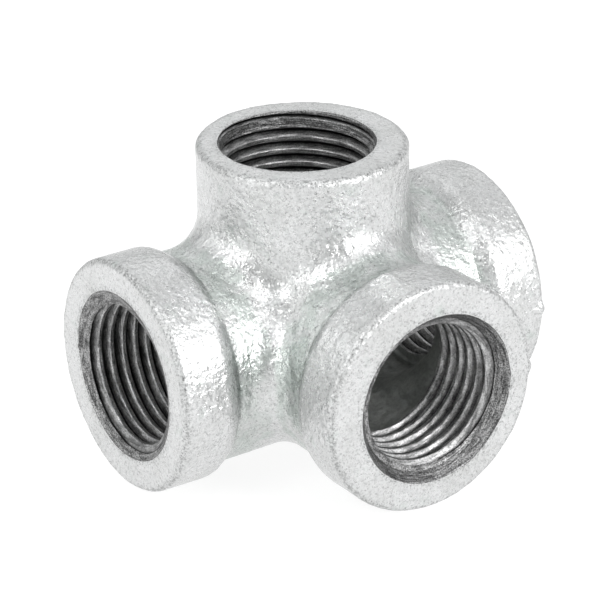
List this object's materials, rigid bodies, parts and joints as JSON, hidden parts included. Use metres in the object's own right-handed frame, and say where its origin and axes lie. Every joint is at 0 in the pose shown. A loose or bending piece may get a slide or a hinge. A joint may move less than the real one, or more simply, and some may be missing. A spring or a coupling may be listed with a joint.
{
  "type": "side-outlet pipe tee",
  "caption": "Galvanised cast-iron side-outlet tee: two run ports in line, an upright branch and a side outlet, each with a female half-inch taper pipe thread.",
  "frame": {"origin": "the crossing of the run's, the branch's and the side outlet's centre-lines", "axes": "+X along the run towards its right port, -Y out of the side outlet, +Z out of the branch"},
  "size_m": [0.0574, 0.045, 0.0424],
  "materials": {
    "galvanised_iron": "hot-dip galvanised, bright and finely mottled outside, with bare machined threads"
  },
  "bodies": {
    "root": {"tee_casting": "galvanised_iron"}
  },
  "joints": []
}
